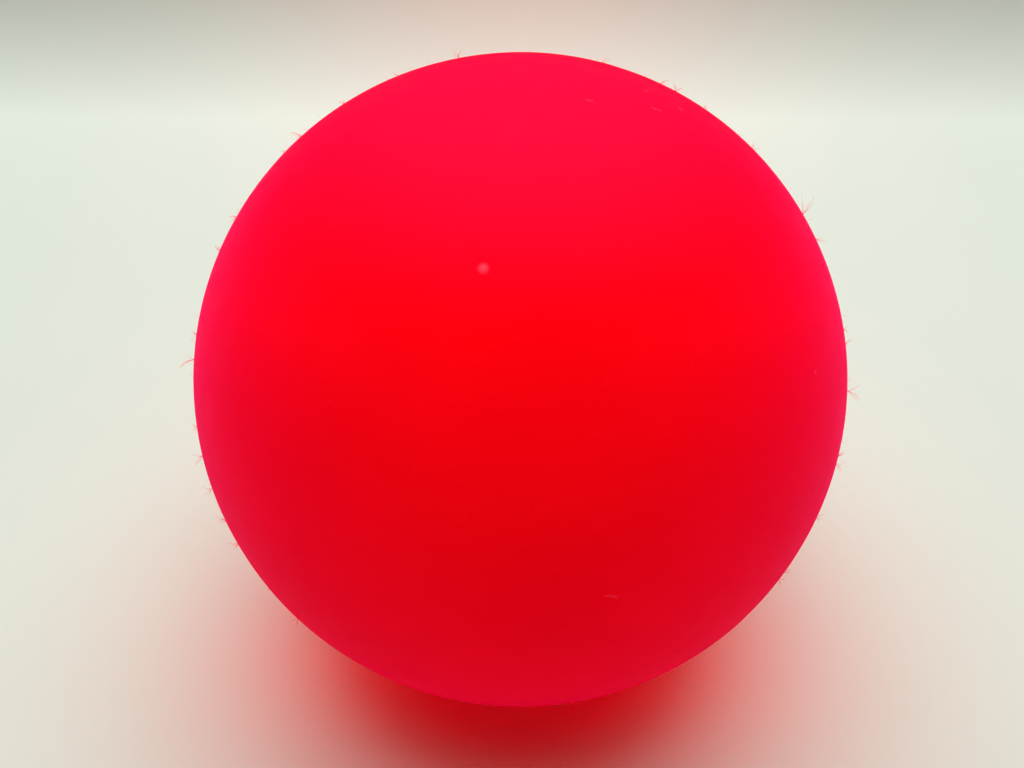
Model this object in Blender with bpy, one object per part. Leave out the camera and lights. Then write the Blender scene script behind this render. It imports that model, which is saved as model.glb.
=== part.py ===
"""Soft practice pickleball without holes: a thin red elastomer skin in two bonded halves over a foam core.

The halves meet in a tongue-and-groove rim with a bead of adhesive in the groove. The foam is poured
through the gate at one pole while the air leaves through the vent at the other, and a plug then closes
each hole. Every piece is turned about the mould axis, which leans so that the gate faces up and
towards -Y, as on a ball that has come to rest. The ball's centre is the origin.
"""

import math

import bmesh
import bpy

# Driving dimensions, in metres
BALL_DIAMETER = 0.0740
SKIN_WALL = 0.0010
TONGUE_THICKNESS = 0.0008
TONGUE_HEIGHT = 0.0012
INNER_LIP = 0.0006
BOND_HEIGHT = 0.0005
FILL_STEM_DIAMETER = 0.0020
FILL_HEAD_DIAMETER = 0.0046
VENT_STEM_DIAMETER = 0.0014
VENT_HEAD_DIAMETER = 0.0036
PLUG_HEAD_HEIGHT = 0.0008
PLUG_RECESS = 0.0002
NIB_DIAMETER = 0.0009

# Clearance between pieces that are bonded to each other on the real ball
SOLID_GAP = 0.0003

# How the mould axis lies: tipped from +Z towards -Y, then turned towards -X
GATE_LEAN = math.radians(35.0)
GATE_TURN = math.radians(8.85)

# How finely the round surfaces are divided
BALL_SEGMENTS = 48
PLUG_SEGMENTS = 24
ARC_STEP = math.radians(7.5)
SHARP_ANGLE = math.radians(30.0)
MERGE_DISTANCE = 1e-7

# Radii of the skin, its rim joint and the core, from the outside inwards
BALL_RADIUS = BALL_DIAMETER / 2
SKIN_INNER_RADIUS = BALL_RADIUS - SKIN_WALL
CORE_RADIUS = SKIN_INNER_RADIUS - SOLID_GAP
GROOVE_OUTER_RADIUS = SKIN_INNER_RADIUS
TONGUE_OUTER_RADIUS = GROOVE_OUTER_RADIUS - SOLID_GAP
TONGUE_INNER_RADIUS = TONGUE_OUTER_RADIUS - TONGUE_THICKNESS
GROOVE_INNER_RADIUS = TONGUE_INNER_RADIUS - SOLID_GAP
RIM_BORE_RADIUS = GROOVE_INNER_RADIUS - INNER_LIP

# Heights along the mould axis, measured from the seam plane
SEAM_FACE = SOLID_GAP / 2
TONGUE_TIP = SEAM_FACE - TONGUE_HEIGHT
BOND_TOP = TONGUE_TIP - SOLID_GAP
BOND_BOTTOM = BOND_TOP - BOND_HEIGHT
GROOVE_DEPTH = SOLID_GAP - BOND_BOTTOM
RIM_HEIGHT = GROOVE_DEPTH + INNER_LIP

# The rim's shoulder and its imprint in the core are 45 degree lines, height = radius + offset
SHOULDER_OFFSET = RIM_HEIGHT - RIM_BORE_RADIUS
IMPRINT_OFFSET = SHOULDER_OFFSET + SOLID_GAP * math.sqrt(2.0)
IMPRINT_RADIUS = RIM_BORE_RADIUS - SOLID_GAP

# Colours and finishes: base colour, roughness
SKIN_FINISH = ((0.82, 0.006, 0.016), 0.48)
PLUG_FINISH = ((0.86, 0.045, 0.085), 0.40)
BOND_FINISH = ((0.72, 0.42, 0.26), 0.30)
CORE_FINISH = ((0.80, 0.66, 0.50), 0.90)


def clear_scene():
    """Remove every object from the scene."""
    for old in list(bpy.data.objects):
        bpy.data.objects.remove(old, do_unlink=True)


def make_material(name, finish):
    """A Principled material with the given base colour and roughness."""
    colour, roughness = finish
    material = bpy.data.materials.new(name)
    material.use_nodes = True
    shader = material.node_tree.nodes["Principled BSDF"]
    shader.inputs["Base Color"].default_value = (*colour, 1.0)
    shader.inputs["Roughness"].default_value = roughness
    shader.inputs["Metallic"].default_value = 0.0
    material.diffuse_color = (*colour, 1.0)
    return material


def arc(radius, start, end):
    """Points (radius, height) on a circle about the centre, at angles measured from the pole."""
    steps = max(1, round(abs(end - start) / ARC_STEP))
    angles = [start + (end - start) * i / steps for i in range(steps + 1)]
    return [(radius * math.sin(angle), radius * math.cos(angle)) for angle in angles]


def height_on_sphere(sphere_radius, radius):
    """Height above the centre at which a sphere has the given radius about the axis."""
    return math.sqrt(sphere_radius ** 2 - radius ** 2)


def slope_meets_sphere(offset, sphere_radius):
    """Angle from the pole at which the line height = radius + offset meets a sphere."""
    radius = (math.sqrt(2.0 * sphere_radius ** 2 - offset ** 2) - offset) / 2
    return math.atan2(radius, radius + offset)


def flipped(outline):
    """The same outline with its pole pointing down."""
    return [(radius, -height) for radius, height in outline]


def skin_outline(stem_diameter, seam_step):
    """Half a skin, pole up: the outer face down to the seam, the rim's step, then the inner face back up."""
    hole_radius = stem_diameter / 2 + SOLID_GAP
    outer = arc(BALL_RADIUS, math.asin(hole_radius / BALL_RADIUS), math.acos(SEAM_FACE / BALL_RADIUS))
    rim = [(RIM_BORE_RADIUS, SEAM_FACE), (RIM_BORE_RADIUS, RIM_HEIGHT)]
    shoulder_angle = slope_meets_sphere(SHOULDER_OFFSET, SKIN_INNER_RADIUS)
    inner = arc(SKIN_INNER_RADIUS, shoulder_angle, math.asin(hole_radius / SKIN_INNER_RADIUS))
    return outer + seam_step + rim + inner


def seam_step(outer_radius, inner_radius, end_height):
    """The tongue or the groove in a rim's seam face, from the outer side to the inner side."""
    return [
        (outer_radius, SEAM_FACE),
        (outer_radius, end_height),
        (inner_radius, end_height),
        (inner_radius, SEAM_FACE),
    ]


def bond_outline():
    """The bead of adhesive between the tongue's tip and the groove's floor."""
    return [
        (TONGUE_OUTER_RADIUS, BOND_TOP),
        (TONGUE_OUTER_RADIUS, BOND_BOTTOM),
        (TONGUE_INNER_RADIUS, BOND_BOTTOM),
        (TONGUE_INNER_RADIUS, BOND_TOP),
    ]


def plug_head_top(head_diameter):
    """Height at which a plug's head lies just under the skin."""
    return height_on_sphere(SKIN_INNER_RADIUS - SOLID_GAP, head_diameter / 2)


def plug_outline(stem_diameter, head_diameter):
    """A plug, pole up, from the nib on its outer end down to the head that sits inside the skin."""
    head_top = plug_head_top(head_diameter)
    head_bottom = head_top - PLUG_HEAD_HEIGHT
    face = BALL_RADIUS - PLUG_RECESS
    return [
        (0.0, BALL_RADIUS),
        (NIB_DIAMETER / 2, BALL_RADIUS),
        (NIB_DIAMETER / 2, face),
        (stem_diameter / 2, face),
        (stem_diameter / 2, head_top),
        (head_diameter / 2, head_top),
        (head_diameter / 2, head_bottom),
        (0.0, head_bottom),
    ]


def core_half_outline(head_diameter):
    """Half the core, pole up: the pocket round a plug's head, the round face and the rim's imprint."""
    pocket_radius = head_diameter / 2 + SOLID_GAP
    pocket_floor = plug_head_top(head_diameter) - PLUG_HEAD_HEIGHT - SOLID_GAP
    pocket = [(0.0, pocket_floor), (pocket_radius, pocket_floor)]
    shoulder_angle = slope_meets_sphere(IMPRINT_OFFSET, CORE_RADIUS)
    face = arc(CORE_RADIUS, math.asin(pocket_radius / CORE_RADIUS), shoulder_angle)
    imprint = [(IMPRINT_RADIUS, IMPRINT_RADIUS + IMPRINT_OFFSET)]
    return pocket + face + imprint


def core_outline():
    """The whole core, from the pocket at the gate to the pocket at the vent."""
    upper = core_half_outline(FILL_HEAD_DIAMETER)
    lower = flipped(core_half_outline(VENT_HEAD_DIAMETER))
    return upper + lower[::-1]


def turned(name, outline, segments, material, axis_empty):
    """A closed body turned from an outline: a loop clear of the axis, or a line from axis to axis."""
    build = bmesh.new()
    points = [build.verts.new((radius, 0.0, height)) for radius, height in outline]
    edges = [build.edges.new(pair) for pair in zip(points, points[1:])]
    if outline[0][0] > 0.0:
        edges.append(build.edges.new((points[-1], points[0])))
    bmesh.ops.spin(
        build,
        geom=points + edges,
        cent=(0.0, 0.0, 0.0),
        axis=(0.0, 0.0, 1.0),
        angle=math.tau,
        steps=segments,
        use_merge=True,
    )
    bmesh.ops.remove_doubles(build, verts=build.verts, dist=MERGE_DISTANCE)
    bmesh.ops.dissolve_degenerate(build, edges=build.edges, dist=MERGE_DISTANCE)
    bmesh.ops.recalc_face_normals(build, faces=build.faces)
    mesh = bpy.data.meshes.new(name)
    build.to_mesh(mesh)
    build.free()
    mesh.materials.append(material)
    mesh.shade_smooth()
    mesh.set_sharp_from_angle(angle=SHARP_ANGLE)
    piece = bpy.data.objects.new(name, mesh)
    piece.parent = axis_empty
    bpy.context.scene.collection.objects.link(piece)
    return piece


def make_axis():
    """The empty that carries every piece and leans the mould axis."""
    axis_empty = bpy.data.objects.new("mould_axis", None)
    axis_empty.rotation_euler = (GATE_LEAN, 0.0, -GATE_TURN)
    bpy.context.scene.collection.objects.link(axis_empty)
    return axis_empty


def make_skins(axis_empty):
    """The two half skins: the upper one has the tongue, the lower one the groove."""
    tongue = seam_step(TONGUE_OUTER_RADIUS, TONGUE_INNER_RADIUS, TONGUE_TIP)
    groove = seam_step(GROOVE_OUTER_RADIUS, GROOVE_INNER_RADIUS, GROOVE_DEPTH)
    upper = skin_outline(FILL_STEM_DIAMETER, tongue)
    lower = flipped(skin_outline(VENT_STEM_DIAMETER, groove))
    turned("upper_skin", upper, BALL_SEGMENTS, make_material("upper_skin", SKIN_FINISH), axis_empty)
    turned("lower_skin", lower, BALL_SEGMENTS, make_material("lower_skin", SKIN_FINISH), axis_empty)


def make_bond(axis_empty):
    """The adhesive bead in the rim joint."""
    turned("seam_bond", bond_outline(), BALL_SEGMENTS, make_material("seam_bond", BOND_FINISH), axis_empty)


def make_core(axis_empty):
    """The foam core, which takes the imprint of everything that stands inside the skin."""
    turned("foam_core", core_outline(), BALL_SEGMENTS, make_material("foam_core", CORE_FINISH), axis_empty)


def make_plugs(axis_empty):
    """The plugs that close the gate and the vent."""
    fill = plug_outline(FILL_STEM_DIAMETER, FILL_HEAD_DIAMETER)
    vent = flipped(plug_outline(VENT_STEM_DIAMETER, VENT_HEAD_DIAMETER))
    turned("fill_plug", fill, PLUG_SEGMENTS, make_material("fill_plug", PLUG_FINISH), axis_empty)
    turned("vent_plug", vent, PLUG_SEGMENTS, make_material("vent_plug", PLUG_FINISH), axis_empty)


def main():
    clear_scene()
    axis_empty = make_axis()
    make_skins(axis_empty)
    make_bond(axis_empty)
    make_core(axis_empty)
    make_plugs(axis_empty)


main()
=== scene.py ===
"""Looks of a soft pickleball without holes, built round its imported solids.

The skin halves, plugs, bond bead and foam core are modelled where the solids lie, lint is strewn on the
tacky skin, and a pale sweep with soft light and a camera make the stage. Lengths are in metres where no
comment says otherwise.
"""

import math
import random

import bmesh
import bpy
import numpy as np
from bpy.props import FloatProperty, FloatVectorProperty, IntProperty, PointerProperty
from bpy.types import NodeSocket, Operator, Panel, PropertyGroup
from mathutils import Matrix, Vector, noise


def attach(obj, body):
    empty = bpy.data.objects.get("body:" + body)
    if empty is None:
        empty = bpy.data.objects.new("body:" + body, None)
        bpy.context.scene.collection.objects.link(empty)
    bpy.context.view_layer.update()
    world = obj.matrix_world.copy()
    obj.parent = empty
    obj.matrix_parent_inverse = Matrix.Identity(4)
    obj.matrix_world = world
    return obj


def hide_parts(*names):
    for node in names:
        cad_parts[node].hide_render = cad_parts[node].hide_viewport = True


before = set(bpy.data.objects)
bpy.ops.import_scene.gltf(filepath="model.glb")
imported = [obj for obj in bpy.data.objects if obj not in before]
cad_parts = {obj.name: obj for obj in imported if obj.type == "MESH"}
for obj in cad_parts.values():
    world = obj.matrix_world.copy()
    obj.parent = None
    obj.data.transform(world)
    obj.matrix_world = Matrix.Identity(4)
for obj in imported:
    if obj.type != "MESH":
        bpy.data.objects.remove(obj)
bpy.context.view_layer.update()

bl_info = {
    "name": "Soft Pickleball Looks",
    "version": (1, 0, 0),
    "blender": (4, 5, 0),
    "location": "View3D > Sidebar > Soft Ball",
    "description": "Models the finish of a soft practice ball round its solids and sets its stage",
    "category": "Object",
}

BODY = "root"
MILLIMETRE = 0.001
WHITE = (1.0, 1.0, 1.0)
MOULD_POLE = Vector((0.0, 0.0, 1.0))

# How closely points are told apart, and the angle from which an edge stays sharp
MERGE_DISTANCE = 1e-7
POINT_DECIMALS = 7
SIZE_DECIMALS = 5
SHARP_ANGLE = math.radians(35.0)


def node_points(node):
    """The separate points of a CAD node, as an array."""
    points = np.array([vertex.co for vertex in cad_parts[node].data.vertices], float)
    return np.unique(points.round(POINT_DECIMALS), axis=0)


GATE_AXIS = Vector(node_points("fill_plug").mean(axis=0)).normalized()
MOULD_TURN = MOULD_POLE.rotation_difference(GATE_AXIS).to_matrix().to_4x4()


def turned_points(node):
    """Distance from the mould axis and height along it of a CAD node's points."""
    points = node_points(node)
    heights = points @ np.array(GATE_AXIS)
    across = points - np.outer(heights, np.array(GATE_AXIS))
    return np.linalg.norm(across, axis=1), heights


# Sizes read from the solids: the skin and the tongue on its rim, whose points are told apart by half a gap
skin_r, skin_z = turned_points("upper_skin")
BALL_RADIUS = float(np.hypot(skin_r, skin_z).max())
SEAM_FACE = float(skin_z[skin_r.argmax()])
SOLID_GAP = 2.0 * SEAM_FACE
STEP_TOLERANCE = SOLID_GAP / 2
TONGUE_TIP = float(skin_z.min())
at_tip = skin_z < TONGUE_TIP + STEP_TOLERANCE
TONGUE_OUTER = float(skin_r[at_tip].max())
TONGUE_INNER = float(skin_r[at_tip].min())
SKIN_INNER = TONGUE_OUTER + SOLID_GAP

# The rim's bore, which lies in the quarter of the half next to the seam
RIM_REACH = BALL_RADIUS / 4
RIM_BORE = float(skin_r[skin_z < RIM_REACH].min())
RIM_HEIGHT = float(skin_z[np.abs(skin_r - RIM_BORE) < STEP_TOLERANCE].max())

# The bond bead and the groove that it lies in
bond_z = turned_points("seam_bond")[1]
BOND_TOP = float(bond_z.max())
BOND_BOTTOM = float(bond_z.min())
GROOVE_DEPTH = SOLID_GAP - BOND_BOTTOM
GROOVE_INNER = TONGUE_INNER - SOLID_GAP

# The photograph's frame and the ball's outline in it, in pixels
IMAGE_WIDTH_PX = 1024
IMAGE_HEIGHT_PX = 768
OUTLINE_X_PX = 519.8
OUTLINE_Y_PX = 379.4
OUTLINE_RADIUS_PX = 327.2

# The camera's sensor, in millimetres, and the distance from which it sees
SENSOR_WIDTH_MM = 36.0
NEAR_CLIP = 0.01

# How finely the forms are divided
NIB_POINTS = 12
DISH_POINTS = 10
HEAD_EDGE_POINTS = 6
BEAD_POINTS = 20
SWEEP_BEND_POINTS = 17
FIBRE_POINTS = 9
FOAM_CUTS = 3

# Share and frequency of each slow wave that shrinkage leaves in the skin
SHRINK_WAVES = ((0.7, 3.1), (0.3, 8.3))

# How often the flash's trim and the bead's ripple vary
TRIM_FREQUENCY = 14.0
RIPPLE_FREQUENCY = 22.0

# How rounded a plug's head is, how boxy the bead's section is and how narrow the foam's pits are
HEAD_ROUNDING = 0.3
BEAD_POWER = 0.45
PIT_NARROWING = 1.6

# How a fibre bends and thins: the share of its length before the kink, its rise after it and its taper
KINK_SHARE = 0.55
TIP_RISE = 0.6
FIBRE_TAPER = 0.55

# How deep a fibre starts in the skin, how clear of it the rest stays and how far a tuft's roots lie apart
ROOT_DEPTH = 0.00003
FIBRE_CLEARANCE = 0.00003
ROOT_SPREAD = 0.00012

# Ranges of the random draws for fibres: lengths and radii as shares, angles in degrees
STREWN_LENGTHS = (0.4, 1.5)
STREWN_LIFTS = (15.0, 80.0)
STREWN_KINKS = (-110.0, 110.0)
STREWN_RADII = (0.5, 0.8)
STREWN_SIDES = 3
TUFT_SHIFTS = (-6.0, 6.0)
TUFT_SLANTS = (-32.0, 32.0)
TUFT_KINKS = (-40.0, 40.0)
TUFT_LENGTHS = (0.35, 1.0)
TUFT_RADII = (0.8, 1.3)
TUFT_SIDES = 6
LYING_TURNS = (-28.0, 28.0)
LYING_LENGTHS = (0.5, 1.0)
LYING_KINKS = (-70.0, 70.0)
LYING_LIFT = 4.0

# Tufts on the outline: degrees counter-clockwise from the right, millimetres long, degrees of lean
OUTLINE_TUFTS = [
    (-2.0, 1.9, 12), (-13.5, 1.2, -25), (-15.0, 1.4, 20), (-24.7, 1.2, 5), (-36.0, 1.3, -20),
    (-37.6, 1.0, 25), (-80.0, 1.2, 8), (-133.0, 1.4, -5), (-140.0, 0.8, 25), (-149.7, 1.2, 10),
    (-154.3, 1.4, 30), (-160.5, 1.4, -8), (-166.4, 1.5, 0), (-171.7, 1.0, -5), (176.6, 2.1, 4),
    (172.0, 1.0, -10), (156.7, 1.0, 15), (150.2, 1.0, -25), (136.1, 1.0, 10), (132.0, 1.6, -35),
    (122.6, 0.8, 15), (112.0, 0.9, -10), (100.8, 1.2, 8), (75.4, 1.0, 12), (64.5, 1.5, 28),
    (61.6, 1.2, -6), (55.5, 0.8, -20), (44.7, 1.2, 18), (30.3, 2.6, -38), (25.4, 1.6, 22),
    (8.8, 1.0, 10), (6.2, 1.1, -8),
]

# Lint that lies on the face: pixel, length in millimetres and angle on the picture in degrees
FACE_LINT = [
    (590, 101, 1.5, -8), (657, 110, 1.6, -25), (646, 91, 0.7, 60), (681, 110, 0.8, 75),
    (815, 373, 0.9, 10), (612, 595, 1.9, 4), (780, 185, 1.1, 40), (675, 655, 0.9, 15),
]

# What the settings of one kind have in common; a size is a length that can't be nothing
COLOUR = {"subtype": "COLOR", "size": 3, "min": 0.0, "max": 1.0}
LENGTH = {"unit": "LENGTH", "min": 0.0}
SIZE = {"unit": "LENGTH", "min": 0.000001}
ANGLE = {"subtype": "ANGLE"}
POWER = {"unit": "POWER", "min": 0.0}


class SkinSettings(PropertyGroup):
    """Sizes and colours of the two skin halves."""
    colour: FloatVectorProperty(
        name="Skin colour", description="Colour of the moulded skin",
        default=(0.98, 0.0015, 0.004), **COLOUR)
    deep_colour: FloatVectorProperty(
        name="Deep colour", description="Colour where the pigment lies thicker",
        default=(0.93, 0.0010, 0.003), **COLOUR)
    bloom_colour: FloatVectorProperty(
        name="Bloom colour", description="Tint of the satin bloom at glancing angles",
        default=(1.0, 0.01, 0.40), **COLOUR)
    # Pinker colour painted towards the top of the ball: a painted highlight where the overhead light's
    # gloss falls
    film_colour: FloatVectorProperty(
        name="Highlight colour", description="Colour under the pale film that settles on the top",
        default=(0.98, 0.004, 0.046), **COLOUR)
    gloss_colour: FloatVectorProperty(
        name="Gloss colour", description="Tint of the soft gloss",
        default=(1.0, 0.06, 0.75), **COLOUR)
    hairline: FloatProperty(
        name="Parting hairline", description="Open width of the parting line between the halves",
        default=0.00005, **LENGTH)
    flash_height: FloatProperty(
        name="Flash height", description="How far the trimmed flash stands proud at the parting line",
        default=0.00004, **LENGTH)
    flash_width: FloatProperty(
        name="Flash width", description="Width over which the flash rises", default=0.00030, **SIZE)
    sink_depth: FloatProperty(
        name="Gate sink", description="Depth of the sink mark round a plug", default=0.00004, **LENGTH)
    sink_width: FloatProperty(
        name="Gate sink width", description="Width over which the sink mark fades", default=0.0011, **SIZE)
    seam_round: FloatProperty(
        name="Seam rounding", description="Radius of the edges at the parting line",
        default=0.00007, **SIZE)
    hole_round: FloatProperty(
        name="Hole rounding", description="Radius of the edge of a plug's hole", default=0.00003, **SIZE)
    waviness: FloatProperty(
        name="Waviness", description="Depth of the slow waves that shrinkage leaves in the skin",
        default=0.00003, **LENGTH)
    segments: IntProperty(
        name="Segments", description="Divisions round the mould axis", default=320, min=48)
    rings: IntProperty(
        name="Rings", description="Divisions from the gate to the seam", default=120, min=24)


class PlugSettings(PropertyGroup):
    """Sizes and colours of the fill plug and the vent plug."""
    nib_colour: FloatVectorProperty(
        name="Nib colour", description="Colour of the stretched, paler nib",
        default=(0.96, 0.085, 0.16), **COLOUR)
    # Darker red painted in the dish round the nib: painted shade in the recess
    ring_colour: FloatVectorProperty(
        name="Ring colour", description="Colour in the recess round the nib",
        default=(0.90, 0.002, 0.022), **COLOUR)
    hairline: FloatProperty(
        name="Plug hairline", description="Open width of the joint round a plug",
        default=0.000008, **LENGTH)
    edge_step: FloatProperty(
        name="Edge step", description="How far a plug's edge lies below the skin round it",
        default=0.000004, **LENGTH)
    dish_depth: FloatProperty(
        name="Dish depth", description="Depth of the dish between a plug's edge and its nib",
        default=0.00002, **LENGTH)
    segments: IntProperty(
        name="Segments", description="Divisions round a plug", default=96, min=24)


class BondSettings(PropertyGroup):
    """Sizes and colours of the adhesive bead."""
    colour: FloatVectorProperty(
        name="Bond colour", description="Colour of the cured adhesive",
        default=(0.72, 0.40, 0.22), **COLOUR)
    ripple: FloatProperty(
        name="Ripple", description="How far the bead rises and falls along the seam",
        default=0.00006, **LENGTH)
    segments: IntProperty(
        name="Segments", description="Divisions round the seam", default=360, min=48)


class CoreSettings(PropertyGroup):
    """Sizes and colours of the foam core."""
    colour: FloatVectorProperty(
        name="Foam colour", description="Colour of the foam", default=(0.80, 0.64, 0.46), **COLOUR)
    # Darker colour painted in the middle of each cell: painted shade in the foam's pits
    cell_colour: FloatVectorProperty(
        name="Cell colour", description="Colour in the depth of the foam's cells",
        default=(0.52, 0.36, 0.22), **COLOUR)
    cell_size: FloatProperty(
        name="Cell size", description="Width of the foam's surface cells", default=0.0016, **SIZE)
    cell_depth: FloatProperty(
        name="Cell depth", description="Depth of the foam's surface cells", default=0.00018, **LENGTH)


class LintSettings(PropertyGroup):
    """Sizes and colours of the lint that clings to the skin."""
    colour: FloatVectorProperty(
        name="Lint colour", description="Colour of the standing fibres",
        default=(0.90, 0.008, 0.025), **COLOUR)
    pale_colour: FloatVectorProperty(
        name="Pale lint colour", description="Colour of the lying fibres and the dust",
        default=(0.95, 0.04, 0.17), **COLOUR)
    radius: FloatProperty(
        name="Fibre radius", description="Half the thickness of a fibre", default=0.000016, **SIZE)
    length: FloatProperty(
        name="Fibre length", description="Usual length of a strewn fibre", default=0.0008, **SIZE)
    count: IntProperty(
        name="Fibres", description="Number of strewn fibres on the whole ball", default=900, min=0)
    tuft_count: IntProperty(
        name="Fibres in a tuft", description="Number of fibres that cling together", default=5, min=1)
    seed: IntProperty(
        name="Seed", description="Start of the random draws for the fibres", default=11)


class StageSettings(PropertyGroup):
    """Sizes and colours of the floor, the light and the camera."""
    elevation: FloatProperty(
        name="Camera elevation", description="How far above the floor the camera looks from",
        default=math.radians(40.0), **ANGLE)
    focal_px: FloatProperty(
        name="Focal length", description="Focal length in the photograph's pixels",
        default=1200.0, min=100.0, subtype="PIXEL")
    floor_colour: FloatVectorProperty(
        name="Floor colour", description="Colour of the pale sweep", default=(0.775, 0.87, 0.765), **COLOUR)
    sweep_distance: FloatProperty(
        name="Sweep distance", description="Distance from the ball's centre back to the sweep's bend",
        default=0.134, **SIZE)
    sweep_radius: FloatProperty(
        name="Sweep radius", description="Radius of the sweep's bend", default=0.036, **SIZE)
    sweep_height: FloatProperty(
        name="Sweep height", description="Height at which the sweep ends behind", default=0.032, **SIZE)
    floor_reach: FloatProperty(
        name="Floor reach", description="How far the floor runs before it has faded away",
        default=0.70, **SIZE)
    fade_start: FloatProperty(
        name="Fade start", description="Distance from the ball's centre where the floor begins to fade",
        default=0.22, **SIZE)
    key_power: FloatProperty(
        name="Key power", description="Power of the broad soft lamp overhead", default=1.0, **POWER)
    key_width: FloatProperty(
        name="Key width", description="Width of the soft lamp overhead", default=0.56, **SIZE)
    key_distance: FloatProperty(
        name="Key distance", description="Distance of the soft lamp from the ball's centre",
        default=0.40, **SIZE)
    key_lean: FloatProperty(
        name="Key lean", description="How far the soft lamp overhead leans to the back",
        default=math.radians(16.0), **ANGLE)
    sky_level: FloatProperty(
        name="Sky level", description="Brightness of the soft patch of sky behind the lamp",
        default=2.0, min=0.0)
    sky_spread: FloatProperty(
        name="Sky spread", description="Angle from its middle at which the soft patch of sky ends",
        default=math.radians(47.0), **ANGLE)
    fill_level: FloatProperty(
        name="Fill level", description="Brightness of the faint light from all round",
        default=0.004, min=0.0)
    backdrop_level: FloatProperty(
        name="Backdrop level", description="Brightness of the plain backdrop behind the floor",
        default=0.72, min=0.0, max=1.0, subtype="FACTOR")
    warm_power: FloatProperty(
        name="Warm power", description="Power of the weak warm lamp on the sweep", default=0.017, **POWER)
    warm_colour: FloatVectorProperty(
        name="Warm colour", description="Colour of the weak lamp on the sweep",
        default=(1.0, 0.16, 0.22), **COLOUR)
    warm_width: FloatProperty(
        name="Warm width", description="Width of the weak lamp on the sweep", default=0.05, **SIZE)
    warm_place: FloatVectorProperty(
        name="Warm place", description="Place of the weak lamp, from the sweep's bend",
        size=3, subtype="TRANSLATION", default=(0.0, -0.03, 0.06))
    wrap_strength: FloatProperty(
        name="Wrap strength", description="Strength of the even red light that reaches the ball alone",
        default=1.36, min=0.0)
    wrap_colour: FloatVectorProperty(
        name="Wrap colour", description="Colour of the even light that reaches the ball alone",
        default=(1.0, 0.05, 0.06), **COLOUR)
    wrap_rise: FloatProperty(
        name="Wrap rise", description="How far above level the even light comes from",
        default=math.radians(25.0), **ANGLE)
    wrap_spread: FloatProperty(
        name="Wrap spread", description="Angle that the even light from each side fills",
        default=math.radians(170.0), **ANGLE)
    bounce_power: FloatProperty(
        name="Bounce power", description="Power of each lamp for the red that the ball throws on the floor",
        default=0.007, **POWER)
    bounce_colour: FloatVectorProperty(
        name="Bounce colour", description="Colour of the light that the ball throws on the floor",
        default=(1.0, 0.0, 0.015), **COLOUR)
    bounce_place: FloatVectorProperty(
        name="Bounce place", description="Place of the right bounce lamp inside the ball, in ball radii",
        size=3, subtype="XYZ", default=(0.65, -0.35, -0.40))
    bounce_size: FloatProperty(
        name="Bounce size", description="Radius of a bounce lamp", default=0.001, **LENGTH)


class SoftBallSettings(PropertyGroup):
    """All the settings of the ball's looks."""
    skin: PointerProperty(name="Skin", description="The two skin halves", type=SkinSettings)
    plug: PointerProperty(name="Plug", description="The fill plug and the vent plug", type=PlugSettings)
    bond: PointerProperty(name="Bond", description="The adhesive bead", type=BondSettings)
    core: PointerProperty(name="Core", description="The foam core", type=CoreSettings)
    lint: PointerProperty(name="Lint", description="The lint on the skin", type=LintSettings)
    stage: PointerProperty(name="Stage", description="The floor, light and camera", type=StageSettings)


def settings():
    """The settings that the panel shows."""
    return bpy.context.scene.soft_ball


# Node helpers

# The Mix node's sockets for colours, which share their names with those for numbers
MIX_FIRST = 6
MIX_SECOND = 7
MIX_RESULT = 2


def feed(tree, node, values):
    """Gives a node's inputs their values: sockets to link, numbers or the three parts of a colour."""
    for name, value in values.items():
        slot = node.inputs[name]
        if isinstance(value, NodeSocket):
            tree.links.new(value, slot)
        elif slot.type == "RGBA":
            slot.default_value = (*value, 1.0)
        else:
            slot.default_value = value


def new_material(name):
    """A material with its tree, its Principled shader and its object coordinates."""
    material = bpy.data.materials.new(name)
    material.use_nodes = True
    tree = material.node_tree
    place = tree.nodes.new("ShaderNodeTexCoord").outputs["Object"]
    return material, tree, tree.nodes["Principled BSDF"], place


def shared_group(name, inputs, outputs, fill):
    """A node group that is built once: fill makes its nodes and returns what its outputs put out."""
    if name in bpy.data.node_groups:
        return bpy.data.node_groups[name]
    group = bpy.data.node_groups.new(name, "ShaderNodeTree")
    for socket in inputs:
        kind = "NodeSocketVector" if socket == "Place" else "NodeSocketFloat"
        group.interface.new_socket(name=socket, in_out="INPUT", socket_type=kind)
    for socket in outputs:
        group.interface.new_socket(name=socket, in_out="OUTPUT", socket_type="NodeSocketFloat")
    given = group.nodes.new("NodeGroupInput").outputs
    feed(group, group.nodes.new("NodeGroupOutput"), fill(group, given))
    return group


def place_group(tree, group, place, **values):
    """The outputs of a node group in a material, fed with the surface's place and its own values."""
    node = tree.nodes.new("ShaderNodeGroup")
    node.node_tree = group
    feed(tree, node, {"Place": place})
    feed(tree, node, {name.title(): value for name, value in values.items()})
    return node.outputs


def math_node(tree, operation, first, second):
    """A Math node of two values."""
    node = tree.nodes.new("ShaderNodeMath")
    node.operation = operation
    feed(tree, node, {0: first, 1: second})
    return node.outputs["Value"]


def vector_node(tree, operation, *vectors):
    """The number that a Vector Math node makes, such as a length or a distance."""
    node = tree.nodes.new("ShaderNodeVectorMath")
    node.operation = operation
    feed(tree, node, dict(enumerate(vectors)))
    return node.outputs["Value"]


def height_node(tree, place):
    """The height of a place above the ball's centre."""
    node = tree.nodes.new("ShaderNodeSeparateXYZ")
    feed(tree, node, {"Vector": place})
    return node.outputs["Z"]


def ranged(tree, value, low, high, to_low=0.0, to_high=1.0, smooth=True):
    """A Map Range node from one range of values to another."""
    node = tree.nodes.new("ShaderNodeMapRange")
    node.interpolation_type = "SMOOTHSTEP" if smooth else "LINEAR"
    feed(tree, node, {"Value": value, "From Min": low, "From Max": high})
    feed(tree, node, {"To Min": to_low, "To Max": to_high})
    return node.outputs["Result"]


def faded(tree, value, low, high):
    """A mask that is 1 up to the low value and has faded to 0 at the high one."""
    return ranged(tree, value, low, high, to_low=1.0, to_high=0.0)


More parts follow.
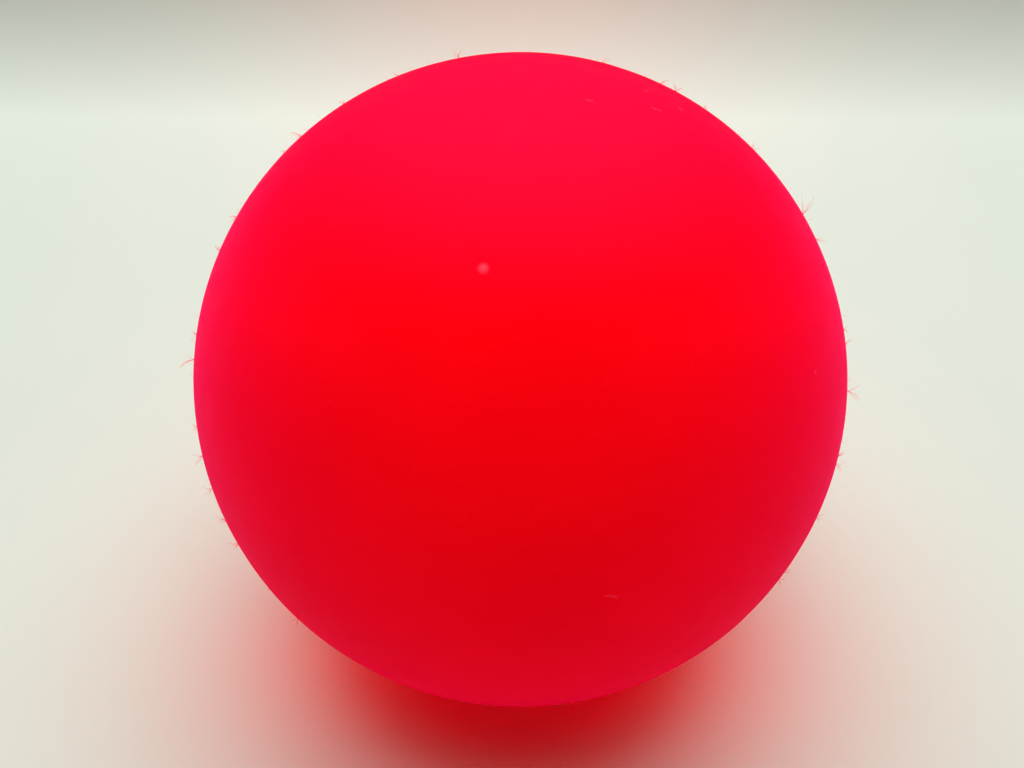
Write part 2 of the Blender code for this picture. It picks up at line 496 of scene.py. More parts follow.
def mixed(tree, factor, first, second):
    """A mix of two colours."""
    node = tree.nodes.new("ShaderNodeMix")
    node.data_type = "RGBA"
    feed(tree, node, {"Factor": factor, MIX_FIRST: first, MIX_SECOND: second})
    return node.outputs[MIX_RESULT]


def noise_node(tree, place, scale, detail):
    """A Noise Texture, with its scale in waves per metre."""
    node = tree.nodes.new("ShaderNodeTexNoise")
    feed(tree, node, {"Vector": place, "Scale": scale, "Detail": detail})
    return node.outputs["Fac"]


def cell_node(tree, place, scale):
    """Distance to the middle of the nearest cell of a Voronoi Texture."""
    node = tree.nodes.new("ShaderNodeTexVoronoi")
    feed(tree, node, {"Vector": place, "Scale": scale})
    return node.outputs["Distance"]


def bump(tree, height, depth):
    """The normal of a surface that is raised by a height times a depth in metres."""
    node = tree.nodes.new("ShaderNodeBump")
    feed(tree, node, {"Distance": depth, "Height": height})
    return node.outputs["Normal"]


# Shared effects


def grain_group():
    """Fine satin grain of a moulded face: a height, and a roughness that varies a little."""
    slow_share = 0.07
    slow_height = 0.6
    most_swing = 0.06

    def fill(group, given):
        fine = noise_node(group, given["Place"], given["Scale"], detail=3.0)
        slow_scale = math_node(group, "MULTIPLY", given["Scale"], slow_share)
        slow = noise_node(group, given["Place"], slow_scale, detail=2.0)
        height = math_node(group, "ADD", math_node(group, "MULTIPLY", slow, slow_height), fine)
        swing = ranged(group, slow, low=0.3, high=0.7, to_low=-most_swing, to_high=most_swing, smooth=False)
        return {"Height": height, "Roughness": math_node(group, "ADD", given["Roughness"], swing)}

    return shared_group("moulded_grain", ("Place", "Scale", "Roughness"), ("Height", "Roughness"), fill)


def drift_group():
    """Slow drift of tone over a moulding: a mask from 0 to 1."""
    def fill(group, given):
        tone = noise_node(group, given["Place"], given["Scale"], detail=4.0)
        return {"Mask": ranged(group, tone, low=0.32, high=0.68)}

    return shared_group("tone_drift", ("Place", "Scale"), ("Mask",), fill)


def dust_group():
    """Pale dust that clings in fine specks: a mask from 0 to the cover."""
    patch_share = 0.06

    def fill(group, given):
        specks = faded(group, cell_node(group, given["Place"], given["Scale"]), low=0.05, high=0.16)
        patch_scale = math_node(group, "MULTIPLY", given["Scale"], patch_share)
        clouds = noise_node(group, given["Place"], patch_scale, detail=2.0)
        mask = math_node(group, "MULTIPLY", specks, ranged(group, clouds, low=0.52, high=0.66))
        return {"Mask": math_node(group, "MULTIPLY", mask, given["Cover"])}

    return shared_group("clinging_dust", ("Place", "Scale", "Cover"), ("Mask",), fill)


def film_group():
    """Painted highlight on upward faces: a mask from 0 to 1 by height."""
    start = 0.70 * BALL_RADIUS
    full = 1.02 * BALL_RADIUS

    def fill(group, given):
        return {"Mask": ranged(group, height_node(group, given["Place"]), start, full)}

    return shared_group("settled_film", ("Place",), ("Mask",), fill)


# Materials

# The grain that the skin and the plugs share
ELASTOMER_GRAIN = {"scale": 5200.0, "depth": 0.000006}


def grained(tree, shader, place, scale, roughness, depth):
    """Gives a shader the moulded grain, in its roughness and its normal."""
    grain = place_group(tree, grain_group(), place, scale=scale, roughness=roughness)
    feed(tree, shader, {"Roughness": grain["Roughness"], "Normal": bump(tree, grain["Height"], depth)})


def toned(colour, gain, lift=0.0):
    """A colour that a gain makes darker and a lift makes paler."""
    return [gain * part + lift for part in colour]


def drifting(tree, place, colour, other, scale):
    """A colour that drifts slowly towards another."""
    return mixed(tree, place_group(tree, drift_group(), place, scale=scale)["Mask"], colour, other)


def satin_bloom(tree, shader):
    """The soft gloss and the pink bloom of the tacky elastomer."""
    skin = settings().skin
    feed(tree, shader, {
        "IOR": 1.45,
        "Specular IOR Level": 0.01,
        "Specular Tint": skin.gloss_colour,
        "Sheen Weight": 0.45,
        "Sheen Roughness": 0.50,
        "Sheen Tint": skin.bloom_colour,
    })


def skin_tone(tree, place):
    """The skin's red with its slow drift, a painted highlight on its top and clinging dust."""
    skin = settings().skin
    red = drifting(tree, place, skin.colour, skin.deep_colour, scale=55.0)
    # Painted highlight: the red turns pinker towards the top of the ball
    film = place_group(tree, film_group(), place)
    filmed = mixed(tree, film["Mask"], red, skin.film_colour)
    dust = place_group(tree, dust_group(), place, scale=900.0, cover=0.05)
    return mixed(tree, dust["Mask"], filmed, settings().lint.pale_colour)


def skin_material():
    """Red satin elastomer with slow tone drift, a painted highlight on its top, fine grain and clinging
    dust.
    """
    material, tree, shader, place = new_material("red_satin_skin")
    grained(tree, shader, place, roughness=0.60, **ELASTOMER_GRAIN)
    feed(tree, shader, {"Base Color": skin_tone(tree, place)})
    satin_bloom(tree, shader)
    return material


def plug_material(name, nib_point, nib_radius):
    """The skin's elastomer, with painted shade in the dish and paler on the nib."""
    plug = settings().plug
    material, tree, shader, place = new_material(name)
    grained(tree, shader, place, roughness=0.52, **ELASTOMER_GRAIN)
    from_nib = vector_node(tree, "DISTANCE", place, nib_point)
    # Painted shade: the red turns darker in the dish round the nib
    dish = faded(tree, from_nib, low=1.2 * nib_radius, high=2.1 * nib_radius)
    nib = faded(tree, from_nib, low=0.0, high=1.5 * nib_radius)
    dished = mixed(tree, dish, skin_tone(tree, place), plug.ring_colour)
    feed(tree, shader, {"Base Color": mixed(tree, nib, dished, plug.nib_colour)})
    satin_bloom(tree, shader)
    return material


def bond_material():
    """Cured amber adhesive, cloudier in places."""
    clear = settings().bond.colour
    cloudy = toned(clear, gain=0.5, lift=0.5)
    material, tree, shader, place = new_material("cured_bond")
    grained(tree, shader, place, scale=2600.0, roughness=0.30, depth=0.00002)
    feed(tree, shader, {"Base Color": drifting(tree, place, clear, cloudy, scale=420.0)})
    return material


def foam_material():
    """Fine-celled foam: painted shade in the cells, half as wide as the modelled ones, between paler walls.
    """
    core = settings().core
    dimmed = toned(core.colour, gain=0.92)
    cell_width = core.cell_size / 2
    material, tree, shader, place = new_material("poured_foam")
    grain = place_group(tree, grain_group(), place, scale=4200.0, roughness=0.90)
    # Painted shade: darker in the middle of each cell, paler on the walls between
    walls = ranged(tree, cell_node(tree, place, 1.0 / cell_width), low=0.12, high=0.62)
    pale = drifting(tree, place, core.colour, dimmed, scale=90.0)
    feed(tree, shader, {
        "Base Color": mixed(tree, walls, core.cell_colour, pale),
        "Roughness": grain["Roughness"],
        "Normal": bump(tree, walls, core.cell_depth / 2),
    })
    return material


def lint_material(name, colour):
    """Fibre whose tone drifts along its length."""
    paler = toned(colour, gain=0.95, lift=0.02)
    material, tree, shader, place = new_material(name)
    grained(tree, shader, place, scale=9000.0, roughness=0.75, depth=0.000002)
    feed(tree, shader, {
        "Base Color": drifting(tree, place, colour, paler, scale=700.0),
        "Specular IOR Level": 0.2,
    })
    return material


def floor_material():
    """Pale sweep that fades away far from the ball and shows from its front only."""
    stage = settings().stage
    colour = stage.floor_colour
    dimmed = toned(colour, gain=0.985)
    top = stage.sweep_height - BALL_RADIUS
    fade_height = 0.4 * stage.sweep_height
    material, tree, shader, place = new_material("pale_sweep")
    near = faded(tree, vector_node(tree, "LENGTH", place), stage.fade_start, stage.floor_reach)
    low = faded(tree, height_node(tree, place), top - fade_height, top)
    feed(tree, shader, {
        "Base Color": drifting(tree, place, colour, dimmed, scale=14.0),
        "Roughness": 0.8,
        "Specular IOR Level": 0.1,
        "Alpha": math_node(tree, "MULTIPLY", near, low),
    })
    behind = tree.nodes.new("ShaderNodeNewGeometry").outputs["Backfacing"]
    clear = tree.nodes.new("ShaderNodeBsdfTransparent").outputs["BSDF"]
    choice = tree.nodes.new("ShaderNodeMixShader")
    feed(tree, choice, {"Fac": behind, 1: shader.outputs["BSDF"], 2: clear})
    feed(tree, tree.nodes["Material Output"], {"Surface": choice.outputs["Shader"]})
    return material


# Shapes


def new_piece(name, build, material):
    """An object from a finished bmesh, shaded smooth but for its sharp edges."""
    mesh = bpy.data.meshes.new(name)
    build.to_mesh(mesh)
    build.free()
    mesh.materials.append(material)
    mesh.shade_smooth()
    mesh.set_sharp_from_angle(angle=SHARP_ANGLE)
    piece = bpy.data.objects.new(name, mesh)
    bpy.context.scene.collection.objects.link(piece)
    return piece


def ball_collection():
    """The collection that lists the ball's pieces for the lamps that light the ball alone."""
    name = "ball_pieces"
    return bpy.data.collections.get(name) or bpy.data.collections.new(name)


def carry(piece):
    """Rides a piece on the ball's one body and lists it for the ball's own lamps."""
    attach(piece, BODY)
    ball_collection().objects.link(piece)


def dress(piece, slot, *nodes):
    """Lets a piece stand for CAD nodes, whose solids it hides; the slot is not used."""
    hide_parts(*nodes)
    carry(piece)


def turned(outline, segments):
    """A closed bmesh turned about the mould axis: from a loop clear of it, or a line from axis to axis."""
    build = bmesh.new()
    points = [build.verts.new((radius, 0.0, height)) for radius, height in outline]
    edges = [build.edges.new(pair) for pair in zip(points, points[1:])]
    if outline[0][0] > 0.0:
        edges.append(build.edges.new((points[-1], points[0])))
    bmesh.ops.spin(
        build, geom=points + edges, cent=(0.0, 0.0, 0.0), axis=MOULD_POLE,
        angle=math.tau, steps=segments, use_merge=True)
    bmesh.ops.remove_doubles(build, verts=build.verts, dist=MERGE_DISTANCE)
    bmesh.ops.recalc_face_normals(build, faces=build.faces)
    bmesh.ops.transform(build, matrix=MOULD_TURN, verts=build.verts)
    return build


def flipped(outline):
    """The same outline with its pole pointing down."""
    return [(radius, -height) for radius, height in outline]


def graded(start, end, count):
    """Values from start to end that crowd together at both ends."""
    crowding = 0.96
    shares = [i / count for i in range(count + 1)]
    eased = [share - crowding * math.sin(math.tau * share) / math.tau for share in shares]
    return [start + (end - start) * share for share in eased]


def edge_drop(distance, radius):
    """How far a rounded edge lies below its face at a distance from the edge."""
    if distance >= radius:
        return 0.0
    return radius - math.sqrt(radius ** 2 - (radius - distance) ** 2)


def bell(distance, width):
    """A smooth rise from 0 far away to 1 at no distance."""
    return math.exp(-((distance / width) ** 2))


def surface_wave(direction):
    """Slow waves that shrinkage leaves in the skin, from -1 to 1, by direction from the centre."""
    return sum(share * noise.noise(direction * frequency) for share, frequency in SHRINK_WAVES)


def outer_face(hole_radius, seam_height):
    """The skin's outer face from the plug's hole to the parting line, with its sink mark and flash."""
    skin = settings().skin
    start = math.asin(hole_radius / BALL_RADIUS)
    end = math.acos(seam_height / BALL_RADIUS)
    points = []
    for angle in graded(start, end, skin.rings):
        from_hole = BALL_RADIUS * (angle - start)
        from_seam = BALL_RADIUS * (end - angle)
        sink = skin.sink_depth * bell(from_hole, skin.sink_width)
        flash = skin.flash_height * bell(from_seam, skin.flash_width)
        edges = edge_drop(from_hole, skin.hole_round) + edge_drop(from_seam, skin.seam_round)
        radius = BALL_RADIUS - sink + flash - edges
        points.append((radius * math.sin(angle), radius * math.cos(angle)))
    return points


def inner_face(hole_radius):
    """The skin's inner face from the slope above the rim to the plug's hole."""
    rings = settings().skin.rings // 2
    slope = RIM_HEIGHT - RIM_BORE
    meet = (math.sqrt(2.0 * SKIN_INNER ** 2 - slope ** 2) - slope) / 2
    start = math.atan2(meet, meet + slope)
    end = math.asin(hole_radius / SKIN_INNER)
    angles = [start + (end - start) * i / rings for i in range(rings + 1)]
    return [(SKIN_INNER * math.sin(angle), SKIN_INNER * math.cos(angle)) for angle in angles]


def skin_outline(stem_radius, step):
    """Half a skin, pole up: its outer face, the step of its rim joint and its inner face."""
    hole_radius = stem_radius + settings().plug.hairline
    seam_height = settings().skin.hairline / 2
    rim = [(RIM_BORE, SEAM_FACE), (RIM_BORE, RIM_HEIGHT)]
    outer = outer_face(hole_radius, seam_height)
    return outer + [(SKIN_INNER, seam_height)] + step + rim + inner_face(hole_radius)


def seam_step(outer, inner, end):
    """The tongue or the groove in a rim's seam face, from the outer side to the inner side."""
    return [(outer, SEAM_FACE), (outer, end), (inner, end), (inner, SEAM_FACE)]


def make_skin(name, outline, node, material):
    """Turns a skin half, waves its outer face, trims its flash unevenly and rides it."""
    skin = settings().skin
    mid_wall = (BALL_RADIUS + SKIN_INNER) / 2
    build = turned(outline, skin.segments)
    for vertex in build.verts:
        if vertex.co.length > mid_wall:
            direction = vertex.co.normalized()
            near_seam = bell(vertex.co.dot(GATE_AXIS), skin.flash_width)
            trim = skin.flash_height * noise.noise(direction * TRIM_FREQUENCY) * near_seam
            vertex.co += direction * (skin.waviness * surface_wave(direction) + trim)
    dress(new_piece(name, build, material), "skin", node)


def plug_sizes(node):
    """Nib, stem and head radius of a plug, and the bottom and top of its head, pole up."""
    radii, heights = turned_points(node)
    nib, stem, head = sorted(set(radii.round(SIZE_DECIMALS).tolist()))[-3:]
    at_head = np.abs(heights[np.abs(radii - head) < STEP_TOLERANCE])
    return nib, stem, head, float(at_head.min()), float(at_head.max())


def plug_outline(sizes):
    """A plug, pole up: a domed nib in a shallow dished face, the stem and a head with rounded edges."""
    nib, stem, head, head_bottom, head_top = sizes
    plug = settings().plug
    edge = BALL_RADIUS - settings().skin.sink_depth - plug.edge_step
    dish_bottom = edge - plug.dish_depth
    dome_height = BALL_RADIUS - dish_bottom
    dome = []
    for share in np.linspace(0.0, 1.0, NIB_POINTS):
        dome.append((nib * share, dish_bottom + dome_height * (0.5 + 0.5 * math.cos(math.pi * share))))
    dish = []
    for share in np.linspace(0.0, 1.0, DISH_POINTS + 1)[1:]:
        dish.append((nib + (stem - nib) * share, dish_bottom + plug.dish_depth * share ** 2))
    rounding = HEAD_ROUNDING * (head_top - head_bottom)
    head_edge = []
    for angle in np.linspace(0.0, math.pi / 2, HEAD_EDGE_POINTS):
        head_edge.append((head - rounding + rounding * math.cos(angle),
                          head_bottom + rounding - rounding * math.sin(angle)))
    return dome + dish + [(stem, head_top), (head, head_top)] + head_edge + [(0.0, head_bottom)]


def make_plug(name, outline, node, material):
    """Turns a plug and rides it."""
    build = turned(outline, settings().plug.segments)
    dress(new_piece(name, build, material), "plug", node)


def bond_outline():
    """The bead's section, a rounded box in the groove below the tongue."""
    middle_r = (TONGUE_OUTER + TONGUE_INNER) / 2
    middle_z = (BOND_TOP + BOND_BOTTOM) / 2
    half_r = (TONGUE_OUTER - TONGUE_INNER) / 2
    half_z = (BOND_TOP - BOND_BOTTOM) / 2
    points = []
    for i in range(BEAD_POINTS):
        angle = -math.tau * i / BEAD_POINTS
        across = math.cos(angle)
        along = math.sin(angle)
        points.append((
            middle_r + half_r * math.copysign(abs(across) ** BEAD_POWER, across),
            middle_z + half_z * math.copysign(abs(along) ** BEAD_POWER, along)))
    return points


# Where the camera stands and what it sees


def aim(way):
    """The turn that points a lamp or the camera along a way."""
    return way.to_track_quat("-Z", "Y")


def camera_place():
    """The camera's point and its right, up and forward directions."""
    stage = settings().stage
    distance = BALL_RADIUS / math.sin(math.atan(OUTLINE_RADIUS_PX / stage.focal_px))
    back = Vector((0.0, -math.cos(stage.elevation), math.sin(stage.elevation)))
    right = Vector((1.0, 0.0, 0.0))
    up = back.cross(right)
    across = (OUTLINE_X_PX - IMAGE_WIDTH_PX / 2) / stage.focal_px
    rise = (IMAGE_HEIGHT_PX / 2 - OUTLINE_Y_PX) / stage.focal_px
    forward = (-back - right * across - up * rise).normalized()
    turn = aim(forward)
    return back * distance, turn @ Vector((1, 0, 0)), turn @ Vector((0, 1, 0)), forward


def point_at_pixel(x, y):
    """The point of the ball that the photograph shows at a pixel."""
    point, right, up, forward = camera_place()
    focal = settings().stage.focal_px
    across = (x - IMAGE_WIDTH_PX / 2) / focal
    rise = (IMAGE_HEIGHT_PX / 2 - y) / focal
    ray = (forward + right * across + up * rise).normalized()
    middle = -point.dot(ray)
    reach = middle ** 2 - point.length_squared + BALL_RADIUS ** 2
    if reach < 0.0:
        raise ValueError(f"pixel {x}, {y} misses the ball")
    return point + ray * (middle - math.sqrt(reach))


def outline_point(degrees):
    """The point of the ball's outline at an angle, counter-clockwise from the right."""
    point, right, up, _ = camera_place()
    back = point.normalized()
    tilt = math.acos(BALL_RADIUS / point.length)
    angle = math.radians(degrees)
    side = (right * math.cos(angle) + up * math.sin(angle)).normalized()
    return BALL_RADIUS * (back * math.cos(tilt) + side * math.sin(tilt))


# Lint


def fibre_path(root, lean, length, lift, kink):
    """Points of a fibre that starts in the skin, leaves it along its lean and kinks about half way."""
    normal = root.normalized()
    lean = (lean - normal * lean.dot(normal)).normalized()
    side = normal.cross(lean)
    bend = root + (normal * math.sin(lift) + lean * math.cos(lift)) * length * KINK_SHARE
    tip_way = normal * math.sin(lift) * TIP_RISE + lean * math.cos(kink) + side * math.sin(kink)
    tip = bend + tip_way.normalized() * length * (1.0 - KINK_SHARE)
    start = root - normal * ROOT_DEPTH
    clear = BALL_RADIUS + FIBRE_CLEARANCE
    path = [start]
    for i in range(1, FIBRE_POINTS):
        t = i / (FIBRE_POINTS - 1)
        spot = start * (1 - t) ** 2 + bend * 2 * t * (1 - t) + tip * t ** 2
        path.append(spot if spot.length >= clear else spot.normalized() * clear)
    return path


def add_fibre(build, path, radius, sides):
    """A closed, tapering tube along a path."""
    last = len(path) - 1
    rings = []
    across = path[0].orthogonal().normalized()
    for i, spot in enumerate(path):
        way = (path[min(i + 1, last)] - path[max(i - 1, 0)]).normalized()
        across = (across - way * across.dot(way)).normalized()
        other = way.cross(across)
        thick = radius * (1.0 - FIBRE_TAPER * i / last)
        ring = []
        for k in range(sides):
            angle = math.tau * k / sides
            out = across * math.cos(angle) + other * math.sin(angle)
            ring.append(build.verts.new(spot + out * thick))
        rings.append(ring)
    for first, second in zip(rings, rings[1:]):
        for k in range(sides):
            n = (k + 1) % sides
            build.faces.new((first[k], first[n], second[n], second[k]))
    build.faces.new(rings[0][::-1])
    build.faces.new(rings[-1])


def near_root(draw, root):
    """A point of the skin close to a tuft's root."""
    astray = Vector([draw.uniform(-ROOT_SPREAD, ROOT_SPREAD) for _ in range(3)])
    return (root + astray).normalized() * BALL_RADIUS


def random_angle(draw, limits):
    """A random angle between two limits in degrees."""
    return math.radians(draw.uniform(*limits))


def random_direction(draw):
    """An even random direction."""
    height = draw.uniform(-1.0, 1.0)
    angle = draw.uniform(0.0, math.tau)
    ring = math.sqrt(1.0 - height ** 2)
    return Vector((ring * math.cos(angle), ring * math.sin(angle), height))


class SOFTBALL_OT_mould_skins(Operator):
    """Model the two skin halves with their parting line and sink marks"""
    bl_idname = "soft_ball.mould_skins"
    bl_label = "Mould Skins"

    def execute(self, context):
        material = skin_material()
        tongue = seam_step(TONGUE_OUTER, TONGUE_INNER, TONGUE_TIP)
        groove = seam_step(SKIN_INNER, GROOVE_INNER, GROOVE_DEPTH)
        fill_stem = plug_sizes("fill_plug")[1]
        vent_stem = plug_sizes("vent_plug")[1]
        make_skin("upper_skin_moulding", skin_outline(fill_stem, tongue), "upper_skin", material)
        make_skin("lower_skin_moulding", flipped(skin_outline(vent_stem, groove)), "lower_skin", material)
        return {"FINISHED"}


class SOFTBALL_OT_press_plugs(Operator):
    """Model the plugs in the gate and the vent, each with its nib"""
    bl_idname = "soft_ball.press_plugs"
    bl_label = "Press Plugs"

    def execute(self, context):
        fill = plug_sizes("fill_plug")
        vent = plug_sizes("vent_plug")
        top = GATE_AXIS * BALL_RADIUS
        make_plug("fill_plug_moulding", plug_outline(fill), "fill_plug",
                  plug_material("fill_plug_elastomer", top, fill[0]))
        make_plug("vent_plug_moulding", flipped(plug_outline(vent)), "vent_plug",
                  plug_material("vent_plug_elastomer", -top, vent[0]))
        return {"FINISHED"}


class SOFTBALL_OT_lay_bond(Operator):
    """Model the adhesive bead in the rim joint"""
    bl_idname = "soft_ball.lay_bond"
    bl_label = "Lay Bond"

    def execute(self, context):
        bond = settings().bond
        build = turned(bond_outline(), bond.segments)
        for vertex in build.verts:
            swell = noise.noise(vertex.co.normalized() * RIPPLE_FREQUENCY)
            vertex.co += GATE_AXIS * bond.ripple * swell
        dress(new_piece("seam_bond_bead", build, bond_material()), "bond", "seam_bond")
        return {"FINISHED"}


class SOFTBALL_OT_pour_core(Operator):
    """Model the foam core with its open surface cells"""
    bl_idname = "soft_ball.pour_core"
    bl_label = "Pour Core"

    def execute(self, context):
        core = settings().core
        build = bmesh.new()
        build.from_mesh(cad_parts["foam_core"].data)
        bmesh.ops.remove_doubles(build, verts=build.verts, dist=MERGE_DISTANCE)
        bmesh.ops.subdivide_edges(build, edges=build.edges, cuts=FOAM_CUTS, use_grid_fill=True)
        bmesh.ops.recalc_face_normals(build, faces=build.faces)
        build.normal_update()
        for vertex in build.verts:
            distances, _ = noise.voronoi(vertex.co / core.cell_size)
            pit = max(0.0, 1.0 - PIT_NARROWING * distances[0])
            vertex.co -= vertex.normal * core.cell_depth * pit
        piece = new_piece("foam_core_pour", build, foam_material())
        dress(piece, "foam", "foam_core")
        return {"FINISHED"}


class SOFTBALL_OT_strew_lint(Operator):
    """Strew fibres of lint on the skin and set those that show on the outline and the face"""
    bl_idname = "soft_ball.strew_lint"
    bl_label = "Strew Lint"

    def execute(self, context):
        lint = settings().lint
        draw = random.Random(lint.seed)
        material = lint_material("clinging_lint", lint.colour)
        pale_material = lint_material("pale_lint", lint.pale_colour)
        carry(new_piece("strewn_lint", self.strew(lint, draw), material))
        carry(new_piece("outline_lint", self.stand_tufts(lint, draw), material))
        carry(new_piece("face_lint", self.lay_tufts(lint, draw), pale_material))
        return {"FINISHED"}

    def strew(self, lint, draw):
        """Single fibres all over the ball, but none that would reach into the floor."""
        build = bmesh.new()
        for _ in range(lint.count):
            root = random_direction(draw) * BALL_RADIUS
            lean = random_direction(draw)
            length = lint.length * draw.uniform(*STREWN_LENGTHS)
            lift = random_angle(draw, STREWN_LIFTS)
            kink = random_angle(draw, STREWN_KINKS)
            path = fibre_path(root, lean, length, lift, kink)
            if min(spot.z for spot in path) > lint.radius - BALL_RADIUS:
                add_fibre(build, path[::2], lint.radius * draw.uniform(*STREWN_RADII), STREWN_SIDES)
        return build

    def stand_tufts(self, lint, draw):
        """Tufts that stand where the photograph shows fibres on the outline."""
        build = bmesh.new()
        *_, forward = camera_place()
        for degrees, length, tilt in OUTLINE_TUFTS:
            side = outline_point(degrees)
            root = Matrix.Rotation(random_angle(draw, TUFT_SHIFTS), 3, forward.cross(side)) @ side
            along = forward.cross(root).normalized()
            for _ in range(lint.tuft_count):
                slant = tilt + draw.uniform(*TUFT_SLANTS)
                way = along if slant >= 0 else -along
                lift = math.radians(90.0 - abs(slant))
                kink = random_angle(draw, TUFT_KINKS)
                start = near_root(draw, root)
                reach = length * draw.uniform(*TUFT_LENGTHS) * MILLIMETRE
                path = fibre_path(start, way, reach, lift, kink)
                add_fibre(build, path, lint.radius * draw.uniform(*TUFT_RADII), TUFT_SIDES)
        return build

    def lay_tufts(self, lint, draw):
        """Tufts that lie where the photograph shows lint on the face."""
        build = bmesh.new()
        _, right, up, _ = camera_place()
        for x, y, length, degrees in FACE_LINT:
            middle = point_at_pixel(x, y)
            for _ in range(lint.tuft_count):
                angle = math.radians(degrees + draw.uniform(*LYING_TURNS))
                way = right * math.cos(angle) + up * math.sin(angle)
                reach = length * draw.uniform(*LYING_LENGTHS) * MILLIMETRE
                start = near_root(draw, middle - way * reach / 2)
                kink = random_angle(draw, LYING_KINKS)
                path = fibre_path(start, way, reach, math.radians(LYING_LIFT), kink)
                add_fibre(build, path, lint.radius * draw.uniform(*TUFT_RADII), TUFT_SIDES)
        return build


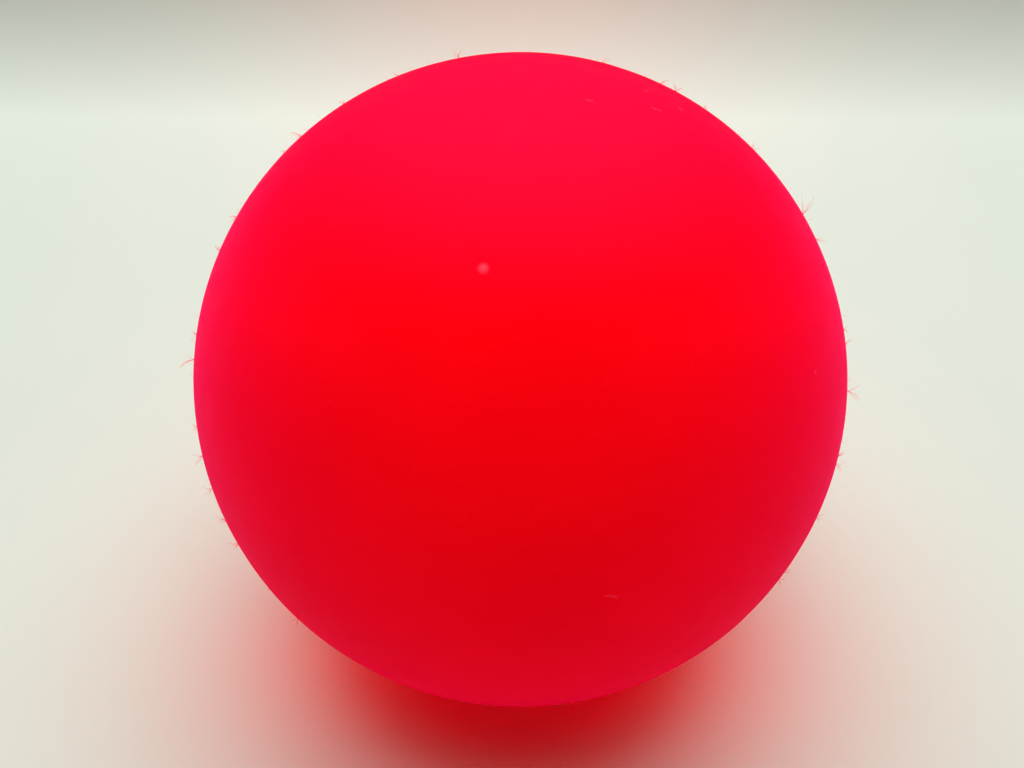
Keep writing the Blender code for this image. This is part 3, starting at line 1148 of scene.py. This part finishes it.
class SOFTBALL_OT_set_stage(Operator):
    """Lay the pale sweep, set the soft light and place the camera"""
    bl_idname = "soft_ball.set_stage"
    bl_label = "Set Stage"

    def execute(self, context):
        stage = settings().stage
        key_way = Vector((0.0, math.sin(stage.key_lean), math.cos(stage.key_lean)))
        self.lay_sweep(stage)
        self.hang_lamps(context.scene, stage, key_way)
        self.light_ball(context.scene, stage)
        self.paint_sky(context.scene, stage, key_way)
        self.place_camera(context.scene, stage)
        context.scene.view_settings.view_transform = "Standard"
        return {"FINISHED"}

    def lay_sweep(self, stage):
        """The floor with a bend up behind the ball."""
        floor = -BALL_RADIUS
        profile = [(-stage.floor_reach, floor), (stage.sweep_distance, floor)]
        end = math.acos(1.0 - min(1.0, stage.sweep_height / stage.sweep_radius))
        for angle in np.linspace(0.0, end, SWEEP_BEND_POINTS)[1:]:
            profile.append((stage.sweep_distance + stage.sweep_radius * math.sin(angle),
                            floor + stage.sweep_radius * (1.0 - math.cos(angle))))
        build = bmesh.new()
        left = [build.verts.new((-stage.floor_reach, y, z)) for y, z in profile]
        right = [build.verts.new((stage.floor_reach, y, z)) for y, z in profile]
        for i in range(len(profile) - 1):
            build.faces.new((left[i], right[i], right[i + 1], left[i + 1]))
        new_piece("pale_sweep", build, floor_material())

    def hang_lamps(self, scene, stage, key_way):
        """A broad soft lamp overhead and a weak warm one on the bend of the sweep."""
        self.hang_lamp(scene, "key_lamp", key_way * stage.key_distance, Vector(), stage.key_width,
                       stage.key_power, WHITE)
        bend = Vector((0.0, stage.sweep_distance + stage.sweep_radius, -BALL_RADIUS / 2))
        self.hang_lamp(scene, "sweep_lamp", bend + stage.warm_place, bend, stage.warm_width,
                       stage.warm_power, stage.warm_colour)

    def light_ball(self, scene, stage):
        """From each side, even red light for the ball alone, and the red that it throws on the floor."""
        across, along, rise = stage.bounce_place
        for name, side in (("left", -1.0), ("right", 1.0)):
            bounce = self.add_lamp(
                scene, f"{name}_bounce", "POINT", stage.bounce_power, stage.bounce_colour)
            bounce.location = Vector((side * across, along, rise)) * BALL_RADIUS
            bounce.data.shadow_soft_size = stage.bounce_size
            bounce.data.use_shadow = False
            wrap = self.add_lamp(scene, f"{name}_wrap", "SUN", stage.wrap_strength, stage.wrap_colour)
            way = Vector((side * math.cos(stage.wrap_rise), 0.0, math.sin(stage.wrap_rise)))
            wrap.rotation_euler = aim(-way).to_euler()
            wrap.data.angle = stage.wrap_spread
            wrap.light_linking.receiver_collection = ball_collection()
            wrap.light_linking.blocker_collection = ball_collection()

    def paint_sky(self, scene, stage, key_way):
        """A soft patch of sky behind the lamp overhead, with a plain backdrop for the camera and gloss."""
        world = bpy.data.worlds.new("soft_sky")
        scene.world = world
        world.use_nodes = True
        tree = world.node_tree
        way = tree.nodes.new("ShaderNodeTexCoord").outputs["Generated"]
        facing = vector_node(tree, "DOT_PRODUCT", way, key_way)
        sky = ranged(tree, facing, math.cos(stage.sky_spread), 1.0, stage.fill_level, stage.sky_level)
        path = tree.nodes.new("ShaderNodeLightPath").outputs
        seen = math_node(tree, "MAXIMUM", path["Is Camera Ray"], path["Is Glossy Ray"])
        seen = math_node(tree, "MAXIMUM", seen, path["Is Transmission Ray"])
        choice = tree.nodes.new("ShaderNodeMix")
        feed(tree, choice, {"Factor": seen, "A": sky, "B": stage.backdrop_level})
        feed(tree, tree.nodes["Background"], {"Color": WHITE, "Strength": choice.outputs["Result"]})

    def add_lamp(self, scene, name, kind, power, colour):
        """A lamp that is not seen itself."""
        data = bpy.data.lights.new(name, kind)
        data.energy = power
        data.color = colour
        lamp = bpy.data.objects.new(name, data)
        lamp.visible_camera = False
        scene.collection.objects.link(lamp)
        return lamp

    def hang_lamp(self, scene, name, point, target, width, power, colour):
        """A round soft lamp that faces a target."""
        lamp = self.add_lamp(scene, name, "AREA", power, colour)
        lamp.data.shape = "DISK"
        lamp.data.size = width
        lamp.location = point
        lamp.rotation_euler = aim(target - point).to_euler()

    def place_camera(self, scene, stage):
        """A camera at the photograph's angle, with the ball where the photograph has it."""
        point, _, _, forward = camera_place()
        data = bpy.data.cameras.new("camera")
        data.sensor_fit = "HORIZONTAL"
        data.sensor_width = SENSOR_WIDTH_MM
        data.lens = stage.focal_px / IMAGE_WIDTH_PX * SENSOR_WIDTH_MM
        data.clip_start = NEAR_CLIP
        camera = bpy.data.objects.new("camera", data)
        camera.location = point
        camera.rotation_euler = aim(forward).to_euler()
        scene.collection.objects.link(camera)
        scene.camera = camera


class SOFTBALL_PT_looks(Panel):
    """The steps that dress the ball, in the sidebar"""
    bl_idname = "SOFTBALL_PT_looks"
    bl_label = "Soft Ball"
    bl_space_type = "VIEW_3D"
    bl_region_type = "UI"
    bl_category = "Soft Ball"

    def draw(self, context):
        for step in STEPS:
            self.layout.operator(step.bl_idname)
        for group in ("skin", "plug", "bond", "core", "lint", "stage"):
            box = self.layout.box()
            box.label(text=group.title())
            part = getattr(context.scene.soft_ball, group)
            for name in part.bl_rna.properties.keys():
                if name not in ("rna_type", "name"):
                    box.prop(part, name)


STEPS = (
    SOFTBALL_OT_set_stage,
    SOFTBALL_OT_mould_skins,
    SOFTBALL_OT_press_plugs,
    SOFTBALL_OT_lay_bond,
    SOFTBALL_OT_pour_core,
    SOFTBALL_OT_strew_lint,
)

CLASSES = (
    SkinSettings,
    PlugSettings,
    BondSettings,
    CoreSettings,
    LintSettings,
    StageSettings,
    SoftBallSettings,
    *STEPS,
    SOFTBALL_PT_looks,
)


def register():
    """Registers the classes and gives the scene its settings."""
    for entry in CLASSES:
        bpy.utils.register_class(entry)
    bpy.types.Scene.soft_ball = PointerProperty(
        name="Soft ball", description="Settings of the ball's looks", type=SoftBallSettings)


def unregister():
    """Takes the settings and the classes away again."""
    del bpy.types.Scene.soft_ball
    for entry in reversed(CLASSES):
        bpy.utils.unregister_class(entry)


def main():
    """Registers the add-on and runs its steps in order."""
    register()
    bpy.ops.soft_ball.set_stage()
    bpy.ops.soft_ball.mould_skins()
    bpy.ops.soft_ball.press_plugs()
    bpy.ops.soft_ball.lay_bond()
    bpy.ops.soft_ball.pour_core()
    bpy.ops.soft_ball.strew_lint()


if __name__ == "__main__":
    main()
